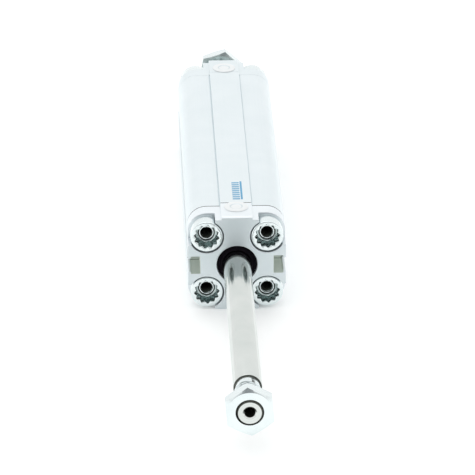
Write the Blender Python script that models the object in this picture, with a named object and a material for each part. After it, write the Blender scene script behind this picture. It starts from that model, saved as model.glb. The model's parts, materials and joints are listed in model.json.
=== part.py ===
"""Compact pneumatic cylinder: 20 mm bore, 100 mm stroke, through rod threaded at both ends.

The housing lies on its flat underside at z = 0. The bore's axis runs along Y, and the front of
the cylinder faces -Y. Every mesh is built around its own axis and then placed by its location.
The rod is shown 7.5 mm short of its front end position, where the piston's middle is at y = 0.
Outlines hold (x, z) points, and turned profiles hold (radius, y) points.
"""

import math

import bmesh
import bpy

# Clearances between pieces that touch or run on each other
SEAM_GAP = 0.0002
FIT_GAP = 0.00015
RUNNING_GAP = 0.00008
OVERSHOOT = 0.001  # how far a cutter runs past the face that it opens

# Body section
BODY_SIDE = 0.0355
HALF_SIDE = BODY_SIDE / 2
AXIS_HEIGHT = HALF_SIDE
CORNER_RADIUS = 0.007
STRIP_HALF_WIDTH = 0.0057
STRIP_HEIGHT = 0.00125
SLOT_MOUTH_HALF_HEIGHT = 0.0026
SLOT_HALF_HEIGHT = 0.0034
SLOT_LIP = 0.0010
SLOT_DEPTH = 0.00445
BORE_RADIUS = 0.010

# Lengths along the axis
STROKE = 0.100
ROD_LENGTH = 0.306
PISTON_LENGTH = 0.013
BUMPER_STAND = 0.0008
END_CLEARANCE = 0.0002
CAP_LENGTH = 0.0125
SPIGOT_LENGTH = 0.005
SHORT_OF_FRONT_END = 0.009
CHAMBER_LENGTH = STROKE + PISTON_LENGTH + 2 * (BUMPER_STAND + END_CLEARANCE)
FRONT_CHAMBER_Y = -(PISTON_LENGTH / 2 + BUMPER_STAND + END_CLEARANCE + SHORT_OF_FRONT_END)
FRONT_FACE_Y = FRONT_CHAMBER_Y - SPIGOT_LENGTH - CAP_LENGTH
REAR_FACE_Y = FRONT_CHAMBER_Y + CHAMBER_LENGTH + SPIGOT_LENGTH + CAP_LENGTH

# Caps
NOTCH_RADIUS = 0.00633
NOTCH_WALL = 0.0079
NOTCH_DEPTH = 0.0065
SPIGOT_RADIUS = BORE_RADIUS - 0.0003
RECESS_RADIUS = 0.00735
RECESS_DEPTH = 0.0078
RECESS_CHAMFER = 0.00025
BUSH_SEAT_RADIUS = 0.00605
PORT_FROM_FACE = 0.0088
PORT_RADIUS = 0.0021
PORT_FLOOR = 0.0083
AIRWAY_RADIUS = 0.0008
AIRWAY_HEIGHT = 0.0092
SEAL_GROOVE_RADIUS = 0.0109
SEAL_GROOVE_HALF_WIDTH = 0.00055
SEAL_GROOVE_DEPTH = 0.0009
CAP_SEAL_THICKNESS = 0.0008

# Rod wipers and seals, with depths counted from a cap's face
WIPER_LIP_TIP = 0.0008
WIPER_LIP_EDGE = 0.0010
WIPER_FACE = 0.0014
WIPER_LIP_ROOT = 0.0022
WIPER_BACK = 0.0044
WIPER_LIP_THICKNESS = 0.0006
WIPER_CONE_WIDTH = 0.0014
WIPER_RELIEF = 0.0009
LIP_DRAFT = 0.0002
ROD_SEAL_BACK = 0.0047
ROD_SEAL_GROOVE_FLOOR = 0.0062
ROD_SEAL_LIP_THICKNESS = 0.0007

# Port plugs
PLUG_FLANGE_RADIUS = 0.0044
PLUG_FLANGE_THICKNESS = 0.0003
PLUG_EDGE = 0.00015
PLUG_DISH_RADIUS = 0.0023
PLUG_DISH_DEPTH = 0.0002
PLUG_LENGTH = 0.0043
PLUG_DRAFT = 0.0001

# Collar screws
SCREW_OFFSET = 0.011
SCREW_HOLE_RADIUS = 0.0038
SCREW_CHANNEL_DEPTH = 0.018
HEAD_RADIUS = 0.00585
HEAD_BELOW_FACE = 0.0003
HEAD_EDGE = 0.0004
SCREW_SHANK_RADIUS = 0.0035
SCREW_LENGTH = 0.0258
LOBES = 12
LOBE_TIP_RADIUS = 0.00455
LOBE_ROOT_RADIUS = 0.0039
SPLINE_FLOOR = 0.0041
COLLAR_CHAMFER_RADIUS = 0.0027
COLLAR_BORE_RADIUS = 0.0021

# Rod and nuts
ROD_RADIUS = 0.005
THREAD_RADIUS = 0.0049
THREAD_LENGTH = 0.0192
THREAD_END_RADIUS = 0.00405
THREAD_UNDERCUT_RADIUS = 0.0043
THREAD_UNDERCUT_LENGTH = 0.0040
CENTRE_HOLE_RADIUS = 0.0019
CENTRE_HOLE_MOUTH = 0.0024
CENTRE_HOLE_DEPTH = 0.010
ROD_EDGE = 0.0003
RING_GROOVE_RADIUS = 0.0044
RING_GROOVE_WIDTH = 0.0013
RING_FROM_MIDDLE = 0.0058
NUT_ACROSS_FLATS = 0.016
NUT_THICKNESS = 0.005
NUT_SETBACK = 0.0003
NUT_BORE_RADIUS = 0.0051
NUT_MOUTH_RADIUS = 0.0055
NUT_FACE_RADIUS = 0.0075
NUT_CHAMFER = 0.0011
FRONT_NUT_TURN = 5
REAR_NUT_TURN = -12

# Piston
PISTON_RADIUS = 0.0096
PISTON_BORE_RADIUS = 0.0051
MIDDLE_GROOVE_RADIUS = 0.0074
MIDDLE_GROOVE_HALF = 0.0017
INNER_GROOVE_RADIUS = 0.00625
INNER_GROOVE_HALF = 0.0008
SEAL_GROOVE_FLOOR = 0.0077
SEAL_GROOVE_START = 0.0032
SEAL_GROOVE_END = 0.0054
COUNTERBORE_RADIUS = 0.0067
COUNTERBORE_FLOOR = 0.0050
BUMPER_INNER_RADIUS = 0.0073
BUMPER_OUTER_RADIUS = 0.0088
BUMPER_SEAT = 0.0005
MAGNET_THICKNESS = 0.0014
PISTON_SEAL_SHOULDER = 0.0004
PISTON_SEAL_CROWN = 0.0005
PISTON_SEAL_LIP = 0.0003
PISTON_SEAL_GROOVE = 0.0007

# How finely round shapes are divided
BORE_SIDES = 36
TURNED_SIDES = 24
HOLE_SIDES = 16
CORNER_STEPS = 6
NOTCH_STEPS = 14


# ---------------------------------------------------------------- materials


def material(name, colour, metallic, roughness):
    """A Principled material in one colour."""
    made = bpy.data.materials.new(name)
    made.use_nodes = True
    shader = made.node_tree.nodes["Principled BSDF"]
    shader.inputs["Base Color"].default_value = (*colour, 1)
    shader.inputs["Metallic"].default_value = metallic
    shader.inputs["Roughness"].default_value = roughness
    made.diffuse_color = (*colour, 1)
    return made


# ---------------------------------------------------------------- shapes


def finish_mesh(mesh, name, coating):
    """Makes the bmesh an object with its faces pointing out and its round faces smooth."""
    bmesh.ops.recalc_face_normals(mesh, faces=mesh.faces)
    data = bpy.data.meshes.new(name)
    mesh.to_mesh(data)
    mesh.free()
    data.shade_smooth()
    data.set_sharp_from_angle(angle=math.radians(30))
    if coating:
        data.materials.append(coating)
    made = bpy.data.objects.new(name, data)
    bpy.context.scene.collection.objects.link(made)
    return made


def ring_stack(name, rings, closed, coating=None):
    """Joins rings of points into one skin; each ring is a list of points or a single pole.

    A closed stack runs back from its last ring to its first, as around a washer.
    """
    mesh = bmesh.new()
    levels = [[mesh.verts.new(point) for point in ring] for ring in rings]
    pairs = list(zip(levels, levels[1:]))
    if closed:
        pairs.append((levels[-1], levels[0]))
    for low, high in pairs:
        count = max(len(low), len(high))
        for i in range(count):
            j = (i + 1) % count
            if len(low) == 1:
                corners = (low[0], high[i], high[j])
            elif len(high) == 1:
                corners = (low[i], low[j], high[0])
            else:
                corners = (low[i], low[j], high[j], high[i])
            mesh.faces.new(corners)
    return finish_mesh(mesh, name, coating)


def circle(radius, y, sides):
    """The points of a ring around the Y axis, or its one centre point when the radius is 0."""
    if radius == 0:
        return [(0, y, 0)]
    angles = [2 * math.pi * i / sides for i in range(sides)]
    return [(radius * math.cos(a), y, radius * math.sin(a)) for a in angles]


def turned(name, profile, coating=None, sides=TURNED_SIDES):
    """A solid of revolution around the Y axis, from its (radius, y) profile."""
    rings = [circle(radius, y, sides) for radius, y in profile]
    return ring_stack(name, rings, profile[0][0] > 0, coating)


def sleeve(name, inner, outer, low, high, coating):
    """A plain ring with a square section."""
    return turned(name, [(inner, low), (outer, low), (outer, high), (inner, high)], coating)


def prism(name, outline, low, high, coating=None):
    """An (x, z) outline drawn out along Y from low to high."""
    mesh = bmesh.new()
    base = mesh.faces.new([mesh.verts.new((x, low, z)) for x, z in outline])
    drawn = bmesh.ops.extrude_face_region(mesh, geom=[base])["geom"]
    moved = [item for item in drawn if isinstance(item, bmesh.types.BMVert)]
    bmesh.ops.translate(mesh, verts=moved, vec=(0, high - low, 0))
    return finish_mesh(mesh, name, coating)


def rod_cutter(name, radius, low, high, sides=HOLE_SIDES):
    """A plain cylinder along Y, for cutting a hole."""
    return turned(name, [(0, low), (radius, low), (radius, high), (0, high)], sides=sides)


def arc(centre_x, centre_z, radius, start, end, steps):
    """Points along an arc, from one angle in degrees to another."""
    angles = [math.radians(start + (end - start) * i / steps) for i in range(steps + 1)]
    return [(centre_x + radius * math.cos(a), centre_z + radius * math.sin(a)) for a in angles]


def combine(target, tool, operation):
    """Adds a Boolean modifier that cuts, joins or intersects the target with the hidden tool."""
    modifier = target.modifiers.new(tool.name, "BOOLEAN")
    modifier.operation = operation
    modifier.object = tool
    tool.parent = target
    tool.hide_render = True
    tool.display_type = "WIRE"


def place(made, x=0, y=0, z=AXIS_HEIGHT, turn_z=0):
    """Puts an object in the cylinder, by default on the bore's axis."""
    made.location = (x, y, z)
    made.rotation_euler = (0, 0, math.radians(turn_z))


# ---------------------------------------------------------------- housing


def body_outline():
    """The profile shared by barrel and caps: rounded square, top strip, and a T-slot each side."""
    centre = HALF_SIDE - CORNER_RADIUS
    throat = HALF_SIDE - SLOT_LIP
    floor = HALF_SIDE - SLOT_DEPTH
    slot = [
        (HALF_SIDE, -SLOT_MOUTH_HALF_HEIGHT),
        (throat, -SLOT_MOUTH_HALF_HEIGHT),
        (throat, -SLOT_HALF_HEIGHT),
        (floor, -SLOT_HALF_HEIGHT),
    ]
    slot += [(x, -z) for x, z in reversed(slot)]
    right = arc(centre, -centre, CORNER_RADIUS, -90, 0, CORNER_STEPS)
    right += slot
    right += arc(centre, centre, CORNER_RADIUS, 0, 90, CORNER_STEPS)
    right += [(STRIP_HALF_WIDTH, HALF_SIDE), (STRIP_HALF_WIDTH, HALF_SIDE + STRIP_HEIGHT)]
    return right + [(-x, z) for x, z in reversed(right)]


def screw_places():
    """The (x, z) place of each collar screw, with a name for its corner."""
    for side, x in (("left", -SCREW_OFFSET), ("right", SCREW_OFFSET)):
        for level, z in (("lower", -SCREW_OFFSET), ("upper", SCREW_OFFSET)):
            yield f"{level}_{side}", x, z


def barrel(aluminium):
    low = FRONT_FACE_Y + CAP_LENGTH + SEAM_GAP
    high = REAR_FACE_Y - CAP_LENGTH - SEAM_GAP
    made = prism("barrel", body_outline(), low, high, aluminium)
    bore = rod_cutter("barrel_bore", BORE_RADIUS, low - OVERSHOOT, high + OVERSHOOT, BORE_SIDES)
    combine(made, bore, "DIFFERENCE")
    for corner, x, z in screw_places():
        for end, mouth, bottom in (
            ("front", low - OVERSHOOT, low + SCREW_CHANNEL_DEPTH),
            ("rear", high + OVERSHOOT, high - SCREW_CHANNEL_DEPTH),
        ):
            name = f"{end}_channel_{corner}"
            hole = rod_cutter(name, SCREW_HOLE_RADIUS, min(mouth, bottom), max(mouth, bottom))
            hole.location = (x, 0, z)
            combine(made, hole, "DIFFERENCE")
    place(made)


def notch_outline():
    """One corner's notch: a round seat around the screw that opens to the corner."""
    beyond = HALF_SIDE + 2 * OVERSHOOT
    wall = NOTCH_WALL - SCREW_OFFSET
    turn = math.degrees(math.asin(wall / NOTCH_RADIUS))
    seat = arc(SCREW_OFFSET, SCREW_OFFSET, NOTCH_RADIUS, turn, -270 - turn, NOTCH_STEPS)
    return seat + [(NOTCH_WALL, beyond), (beyond, beyond), (beyond, NOTCH_WALL)]


def cap(name, aluminium):
    """A cap built with its outer face at y = 0 and its spigot towards +Y."""
    made = prism(name, body_outline(), 0, CAP_LENGTH, aluminium)
    inner_end = CAP_LENGTH + SPIGOT_LENGTH
    spigot = rod_cutter(f"{name}_spigot", SPIGOT_RADIUS, RECESS_DEPTH, inner_end, BORE_SIDES)
    combine(made, spigot, "UNION")
    passage = [
        (0, -OVERSHOOT),
        (RECESS_RADIUS + RECESS_CHAMFER + OVERSHOOT, -OVERSHOOT),
        (RECESS_RADIUS, RECESS_CHAMFER),
        (RECESS_RADIUS, RECESS_DEPTH),
        (BUSH_SEAT_RADIUS, RECESS_DEPTH),
        (BUSH_SEAT_RADIUS, inner_end + OVERSHOOT),
        (0, inner_end + OVERSHOOT),
    ]
    combine(made, turned(f"{name}_passage", passage, sides=BORE_SIDES), "DIFFERENCE")
    for corner, x, z in screw_places():
        outline = [(math.copysign(px, x), math.copysign(pz, z)) for px, pz in notch_outline()]
        notch = prism(f"{name}_notch_{corner}", outline, -OVERSHOOT, NOTCH_DEPTH)
        combine(made, notch, "DIFFERENCE")
        start = NOTCH_DEPTH - OVERSHOOT
        hole = rod_cutter(f"{name}_hole_{corner}", SCREW_HOLE_RADIUS, start, CAP_LENGTH + OVERSHOOT)
        hole.location = (x, 0, z)
        combine(made, hole, "DIFFERENCE")
    port_top = HALF_SIDE + STRIP_HEIGHT + OVERSHOOT
    port = rod_cutter(f"{name}_port", PORT_RADIUS, PORT_FLOOR, port_top)
    port.rotation_euler = (math.radians(90), 0, 0)
    port.location = (0, PORT_FROM_FACE, 0)
    combine(made, port, "DIFFERENCE")
    airway = rod_cutter(f"{name}_airway", AIRWAY_RADIUS, PORT_FROM_FACE, inner_end + OVERSHOOT, 12)
    airway.location = (0, 0, AIRWAY_HEIGHT)
    combine(made, airway, "DIFFERENCE")
    groove = sleeve(
        f"{name}_seal_groove",
        SEAL_GROOVE_RADIUS - SEAL_GROOVE_HALF_WIDTH,
        SEAL_GROOVE_RADIUS + SEAL_GROOVE_HALF_WIDTH,
        CAP_LENGTH - SEAL_GROOVE_DEPTH,
        CAP_LENGTH + OVERSHOOT,
        None,
    )
    combine(made, groove, "DIFFERENCE")
    return made


def lobed_ring(y):
    """The wavy outline of the collar screw's twelve-lobe recess."""
    points = []
    for i in range(2 * LOBES):
        radius = LOBE_ROOT_RADIUS if i % 2 else LOBE_TIP_RADIUS
        angle = math.pi * i / LOBES
        points.append((radius * math.cos(angle), y, radius * math.sin(angle)))
    return points


def collar_screw(name, steel):
    """A hollow screw with its head's outer face at y = 0 and its shank towards +Y."""
    sides = 2 * LOBES
    head_length = NOTCH_DEPTH - HEAD_BELOW_FACE - SEAM_GAP
    spline_end = SPLINE_FLOOR + COLLAR_CHAMFER_RADIUS - COLLAR_BORE_RADIUS
    outside = [
        (COLLAR_BORE_RADIUS, SCREW_LENGTH),
        (SCREW_SHANK_RADIUS, SCREW_LENGTH),
        (SCREW_SHANK_RADIUS, head_length),
        (HEAD_RADIUS, head_length),
        (HEAD_RADIUS, HEAD_EDGE),
        (HEAD_RADIUS - HEAD_EDGE, 0),
    ]
    inside = [(COLLAR_CHAMFER_RADIUS, SPLINE_FLOOR), (COLLAR_BORE_RADIUS, spline_end)]
    rings = [circle(radius, y, sides) for radius, y in outside]
    rings += [lobed_ring(0), lobed_ring(SPLINE_FLOOR)]
    rings += [circle(radius, y, sides) for radius, y in inside]
    return ring_stack(name, rings, True, steel)


def bead(name, radius, y, thickness, rubber, section_sides=6):
    """A seal ring with a round section."""
    profile = []
    for i in range(section_sides):
        angle = 2 * math.pi * i / section_sides
        profile.append((radius + thickness / 2 * math.cos(angle), y + thickness / 2 * math.sin(angle)))
    return turned(name, profile, rubber)


def rod_wiper(name, rubber):
    """The outer rod seal: a body that fills the recess and a lip that leans out along the rod."""
    outer = RECESS_RADIUS - FIT_GAP
    lip = ROD_RADIUS + FIT_GAP
    profile = [
        (lip + WIPER_RELIEF, WIPER_BACK),
        (outer, WIPER_BACK),
        (outer, WIPER_FACE),
        (lip + WIPER_CONE_WIDTH, WIPER_FACE),
        (lip + WIPER_LIP_THICKNESS, WIPER_LIP_TIP),
        (lip, WIPER_LIP_EDGE),
        (lip + LIP_DRAFT, WIPER_LIP_ROOT),
    ]
    return turned(name, profile, rubber)


def rod_seal(name, rubber):
    """The inner rod seal, a grooved ring that opens towards the chamber."""
    outer = RECESS_RADIUS - FIT_GAP
    lip = ROD_RADIUS + FIT_GAP
    end = RECESS_DEPTH - FIT_GAP
    profile = [
        (lip, ROD_SEAL_BACK),
        (outer, ROD_SEAL_BACK),
        (outer, end),
        (outer - ROD_SEAL_LIP_THICKNESS, end),
        ((outer + lip) / 2, ROD_SEAL_GROOVE_FLOOR),
        (lip + ROD_SEAL_LIP_THICKNESS, end),
        (lip, end),
    ]
    return turned(name, profile, rubber)


def rod_bush(name, bronze):
    """The plain bearing pressed into the spigot side of a cap."""
    start = RECESS_DEPTH + FIT_GAP
    end = CAP_LENGTH + SPIGOT_LENGTH - FIT_GAP
    return sleeve(name, ROD_RADIUS + RUNNING_GAP, BUSH_SEAT_RADIUS - FIT_GAP, start, end, bronze)


def port_plug(name, plastic):
    """A flanged push-in plug, built along Y with its flange's top at y = 0, then stood on end."""
    shank = PORT_RADIUS - FIT_GAP
    profile = [
        (0, -PLUG_DISH_DEPTH),
        (PLUG_DISH_RADIUS - PLUG_DISH_DEPTH, -PLUG_DISH_DEPTH),
        (PLUG_DISH_RADIUS, 0),
        (PLUG_FLANGE_RADIUS - PLUG_EDGE, 0),
        (PLUG_FLANGE_RADIUS, -PLUG_EDGE),
        (PLUG_FLANGE_RADIUS, -PLUG_FLANGE_THICKNESS),
        (shank, -PLUG_FLANGE_THICKNESS),
        (shank - PLUG_DRAFT, -PLUG_LENGTH),
        (0, -PLUG_LENGTH),
    ]
    made = turned(name, profile, plastic, HOLE_SIDES)
    made.rotation_euler = (math.radians(90), 0, 0)
    return made


# ---------------------------------------------------------------- rod and nuts


def piston_rod(name, chrome):
    """The through rod: threaded ends with centre holes, and two ring grooves at its middle."""
    end = ROD_LENGTH / 2
    shoulder = end - THREAD_LENGTH
    groove_outer = RING_FROM_MIDDLE + RING_GROOVE_WIDTH / 2
    groove_inner = RING_FROM_MIDDLE - RING_GROOVE_WIDTH / 2
    thread_chamfer = THREAD_RADIUS - THREAD_END_RADIUS
    rear_half = [
        (ROD_RADIUS, groove_inner),
        (RING_GROOVE_RADIUS, groove_inner),
        (RING_GROOVE_RADIUS, groove_outer),
        (ROD_RADIUS, groove_outer),
        (ROD_RADIUS, shoulder - ROD_EDGE),
        (ROD_RADIUS - ROD_EDGE, shoulder),
        (THREAD_UNDERCUT_RADIUS, shoulder),
        (THREAD_UNDERCUT_RADIUS, shoulder + THREAD_UNDERCUT_LENGTH),
        (THREAD_RADIUS, shoulder + THREAD_UNDERCUT_LENGTH + THREAD_RADIUS - THREAD_UNDERCUT_RADIUS),
        (THREAD_RADIUS, end - thread_chamfer),
        (THREAD_END_RADIUS, end),
        (CENTRE_HOLE_MOUTH, end),
        (CENTRE_HOLE_RADIUS, end - CENTRE_HOLE_MOUTH + CENTRE_HOLE_RADIUS),
        (CENTRE_HOLE_RADIUS, end - CENTRE_HOLE_DEPTH),
        (0, end - CENTRE_HOLE_DEPTH - CENTRE_HOLE_RADIUS / 2),
    ]
    front_half = [(radius, -y) for radius, y in reversed(rear_half)]
    return turned(name, front_half + rear_half, chrome)


def thin_nut(name, steel):
    """A hexagon nut with a corner up, its middle at y = 0, chamfered on both faces."""
    corner_radius = NUT_ACROSS_FLATS / math.sqrt(3)
    half = NUT_THICKNESS / 2
    outline = arc(0, 0, corner_radius, 90, 390, 5)
    made = prism(name, outline, -half, half, steel)
    wide = NUT_FACE_RADIUS + 2 * NUT_CHAMFER
    barrel_shape = [
        (0, -half - OVERSHOOT),
        (NUT_FACE_RADIUS - 2 * OVERSHOOT, -half - OVERSHOOT),
        (wide, NUT_CHAMFER - half),
        (wide, half - NUT_CHAMFER),
        (NUT_FACE_RADIUS - 2 * OVERSHOOT, half + OVERSHOOT),
        (0, half + OVERSHOOT),
    ]
    combine(made, turned(f"{name}_chamfers", barrel_shape), "INTERSECT")
    mouth = NUT_MOUTH_RADIUS - NUT_BORE_RADIUS
    hole = [
        (0, -half - OVERSHOOT),
        (NUT_MOUTH_RADIUS + OVERSHOOT, -half - OVERSHOOT),
        (NUT_BORE_RADIUS, mouth - half),
        (NUT_BORE_RADIUS, half - mouth),
        (NUT_MOUTH_RADIUS + OVERSHOOT, half + OVERSHOOT),
        (0, half + OVERSHOOT),
    ]
    combine(made, turned(f"{name}_hole", hole), "DIFFERENCE")
    return made


# ---------------------------------------------------------------- piston


def piston_half(name, aluminium):
    """Half of the piston, from the middle plane to its end face at +Y."""
    middle = SEAM_GAP / 2
    end = PISTON_LENGTH / 2
    profile = [
        (INNER_GROOVE_RADIUS, middle),
        (MIDDLE_GROOVE_RADIUS, middle),
        (MIDDLE_GROOVE_RADIUS, MIDDLE_GROOVE_HALF),
        (PISTON_RADIUS, MIDDLE_GROOVE_HALF),
        (PISTON_RADIUS, SEAL_GROOVE_START),
        (SEAL_GROOVE_FLOOR, SEAL_GROOVE_START),
        (SEAL_GROOVE_FLOOR, SEAL_GROOVE_END),
        (PISTON_RADIUS, SEAL_GROOVE_END),
        (PISTON_RADIUS, end),
        (BUMPER_OUTER_RADIUS + FIT_GAP, end),
        (BUMPER_OUTER_RADIUS + FIT_GAP, end - BUMPER_SEAT),
        (BUMPER_INNER_RADIUS - FIT_GAP, end - BUMPER_SEAT),
        (BUMPER_INNER_RADIUS - FIT_GAP, end),
        (COUNTERBORE_RADIUS, end),
        (COUNTERBORE_RADIUS, COUNTERBORE_FLOOR),
        (PISTON_BORE_RADIUS, COUNTERBORE_FLOOR),
        (PISTON_BORE_RADIUS, INNER_GROOVE_HALF),
        (INNER_GROOVE_RADIUS, INNER_GROOVE_HALF),
    ]
    return turned(name, profile, aluminium)


def piston_seal(name, rubber):
    """A lip seal whose outer lip leans towards its own end of the cylinder."""
    inner = SEAL_GROOVE_FLOOR + FIT_GAP
    outer = BORE_RADIUS - FIT_GAP
    low = SEAL_GROOVE_START + FIT_GAP
    high = SEAL_GROOVE_END - FIT_GAP
    middle = (inner + outer) / 2
    profile = [
        (inner, low),
        (middle + PISTON_SEAL_SHOULDER, low),
        (outer, high - PISTON_SEAL_CROWN),
        (outer - PISTON_SEAL_LIP, high),
        (middle, high - PISTON_SEAL_GROOVE),
        (inner, high),
    ]
    return turned(name, profile, rubber)


def piston_pieces(aluminium, rubber, steel, magnetic, plastic):
    """The piston's halves and everything that they carry, around the rod's middle."""
    half = MIDDLE_GROOVE_HALF - FIT_GAP
    magnet_top = MIDDLE_GROOVE_RADIUS + MAGNET_THICKNESS
    place(sleeve("piston_magnet", MIDDLE_GROOVE_RADIUS + FIT_GAP, magnet_top, -half, half, magnetic))
    guide_floor = magnet_top + FIT_GAP
    place(sleeve("piston_guide_ring", guide_floor, BORE_RADIUS - FIT_GAP, -half, half, plastic))
    bead_radius = (ROD_RADIUS + INNER_GROOVE_RADIUS) / 2
    bead_thickness = INNER_GROOVE_RADIUS - ROD_RADIUS - 2 * FIT_GAP
    place(bead("piston_o_ring", bead_radius, 0, bead_thickness, rubber))
    for end, turn_z in (("front", 180), ("rear", 0)):
        place(piston_half(f"piston_{end}_half", aluminium), turn_z=turn_z)
        place(piston_seal(f"piston_{end}_seal", rubber), turn_z=turn_z)
        low = PISTON_LENGTH / 2 - BUMPER_SEAT + FIT_GAP
        high = PISTON_LENGTH / 2 + BUMPER_STAND
        bumper = sleeve(f"{end}_bumper", BUMPER_INNER_RADIUS, BUMPER_OUTER_RADIUS, low, high, rubber)
        place(bumper, turn_z=turn_z)
        low = RING_FROM_MIDDLE - RING_GROOVE_WIDTH / 2 + FIT_GAP
        high = RING_FROM_MIDDLE + RING_GROOVE_WIDTH / 2 - FIT_GAP
        inner = RING_GROOVE_RADIUS + FIT_GAP
        outer = COUNTERBORE_RADIUS - 2 * FIT_GAP
        place(sleeve(f"{end}_retaining_ring", inner, outer, low, high, steel), turn_z=turn_z)


# ---------------------------------------------------------------- assembly


def end_pieces(end, face_y, turn_z, metals, rubber, plastic):
    """One end of the housing: cap, screws, seals, bush and port plug."""
    aluminium, steel, bronze = metals
    place(cap(f"{end}_cap", aluminium), y=face_y, turn_z=turn_z)
    inward = 1 if turn_z == 0 else -1
    for corner, x, z in screw_places():
        screw = collar_screw(f"{end}_screw_{corner}", steel)
        place(screw, x, face_y + inward * HEAD_BELOW_FACE, AXIS_HEIGHT + z, turn_z)
    place(rod_wiper(f"{end}_rod_wiper", rubber), y=face_y, turn_z=turn_z)
    place(rod_seal(f"{end}_rod_seal", rubber), y=face_y, turn_z=turn_z)
    place(rod_bush(f"{end}_rod_bush", bronze), y=face_y, turn_z=turn_z)
    seal_y = CAP_LENGTH - CAP_SEAL_THICKNESS / 2
    cap_seal = bead(f"{end}_cap_seal", SEAL_GROOVE_RADIUS, seal_y, CAP_SEAL_THICKNESS, rubber)
    place(cap_seal, y=face_y, turn_z=turn_z)
    plug = port_plug(f"{end}_port_plug", plastic)
    plug_top = AXIS_HEIGHT + HALF_SIDE + STRIP_HEIGHT + SEAM_GAP + PLUG_FLANGE_THICKNESS
    plug.location = (0, face_y + inward * PORT_FROM_FACE, plug_top)


def clear_scene():
    for old in list(bpy.data.objects):
        bpy.data.objects.remove(old, do_unlink=True)


def main():
    clear_scene()
    anodised = material("anodised_aluminium", (0.80, 0.83, 0.85), 0.9, 0.42)
    machined = material("machined_aluminium", (0.62, 0.64, 0.66), 0.95, 0.35)
    zinc = material("zinc_plated_steel", (0.72, 0.76, 0.80), 1.0, 0.25)
    chrome = material("hard_chrome", (0.78, 0.78, 0.76), 1.0, 0.12)
    bronze = material("sintered_bronze", (0.55, 0.38, 0.18), 0.9, 0.45)
    magnetic = material("bonded_magnet", (0.09, 0.09, 0.10), 0.2, 0.6)
    rubber = material("black_rubber", (0.012, 0.012, 0.013), 0.0, 0.55)
    guide_plastic = material("guide_plastic", (0.75, 0.70, 0.58), 0.0, 0.5)
    plug_plastic = material("white_plastic", (0.86, 0.87, 0.88), 0.0, 0.35)

    barrel(anodised)
    metals = (machined, zinc, bronze)
    end_pieces("front", FRONT_FACE_Y, 0, metals, rubber, plug_plastic)
    end_pieces("rear", REAR_FACE_Y, 180, metals, rubber, plug_plastic)
    place(piston_rod("piston_rod", chrome))
    piston_pieces(machined, rubber, zinc, magnetic, guide_plastic)
    nut_y = (ROD_LENGTH - NUT_THICKNESS) / 2 - NUT_SETBACK
    for name, y, turn in (("front_nut", -nut_y, FRONT_NUT_TURN), ("rear_nut", nut_y, REAR_NUT_TURN)):
        nut = thin_nut(name, zinc)
        nut.location = (0, y, AXIS_HEIGHT)
        nut.rotation_euler = (0, math.radians(-turn), 0)


main()
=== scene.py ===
"""The looks of the compact pneumatic cylinder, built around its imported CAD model.

The model lies along Y with its front end towards -Y. Sizes are in metres, outlines hold (x, z)
points around the bore's axis, and turned profiles hold (radius, y) points. Every visible CAD node
is replaced by a finer piece with the same outer size and place; hidden ones only get a material.
"""

import json
import math
import random

import bmesh
import bpy
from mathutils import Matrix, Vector


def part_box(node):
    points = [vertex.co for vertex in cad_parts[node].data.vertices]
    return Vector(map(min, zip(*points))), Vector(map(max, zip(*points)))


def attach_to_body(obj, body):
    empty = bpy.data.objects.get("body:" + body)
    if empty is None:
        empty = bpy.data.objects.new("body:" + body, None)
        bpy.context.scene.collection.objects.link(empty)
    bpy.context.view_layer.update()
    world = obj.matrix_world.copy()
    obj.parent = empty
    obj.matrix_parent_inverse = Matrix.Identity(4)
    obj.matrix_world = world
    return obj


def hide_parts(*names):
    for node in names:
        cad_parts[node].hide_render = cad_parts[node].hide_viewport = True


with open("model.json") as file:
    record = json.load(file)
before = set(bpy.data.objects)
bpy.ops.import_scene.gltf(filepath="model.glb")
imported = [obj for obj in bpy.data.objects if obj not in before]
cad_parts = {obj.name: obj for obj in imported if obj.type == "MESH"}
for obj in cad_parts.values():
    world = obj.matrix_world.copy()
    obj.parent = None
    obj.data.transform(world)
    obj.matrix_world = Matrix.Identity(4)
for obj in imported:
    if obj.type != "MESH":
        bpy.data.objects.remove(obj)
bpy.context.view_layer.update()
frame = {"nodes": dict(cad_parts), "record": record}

# ---------------------------------------------------------------- places from the CAD model

BARREL_LOW, BARREL_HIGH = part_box("barrel")
FRONT_CAP_LOW, FRONT_CAP_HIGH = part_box("front_cap")
REAR_CAP_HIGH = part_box("rear_cap")[1]
SCREW_LOW, SCREW_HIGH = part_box("front_screw_upper_right")
ROD_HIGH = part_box("piston_rod")[1]
NUT_LOW, NUT_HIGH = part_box("front_nut")
PLUG_LOW, PLUG_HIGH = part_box("front_port_plug")
WIPER_LOW, WIPER_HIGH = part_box("front_rod_wiper")

AXIS_HEIGHT = (WIPER_LOW.z + WIPER_HIGH.z) / 2
HALF_SIDE = BARREL_HIGH.x
STRIP_TOP = BARREL_HIGH.z - AXIS_HEIGHT
FRONT_FACE_Y = FRONT_CAP_LOW.y
REAR_FACE_Y = REAR_CAP_HIGH.y
CAP_TOTAL = FRONT_CAP_HIGH.y - FRONT_CAP_LOW.y
SCREW_OFFSET = (SCREW_LOW.x + SCREW_HIGH.x) / 2
HEAD_RADIUS = (SCREW_HIGH.x - SCREW_LOW.x) / 2
SCREW_LENGTH = SCREW_HIGH.y - SCREW_LOW.y
HEAD_BELOW_FACE = SCREW_LOW.y - FRONT_FACE_Y
PORT_FROM_FACE = (PLUG_LOW.y + PLUG_HIGH.y) / 2 - FRONT_FACE_Y
NUT_INNER_FACE = -NUT_HIGH.y  # how far from the middle the nuts begin

# ---------------------------------------------------------------- shape details

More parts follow.
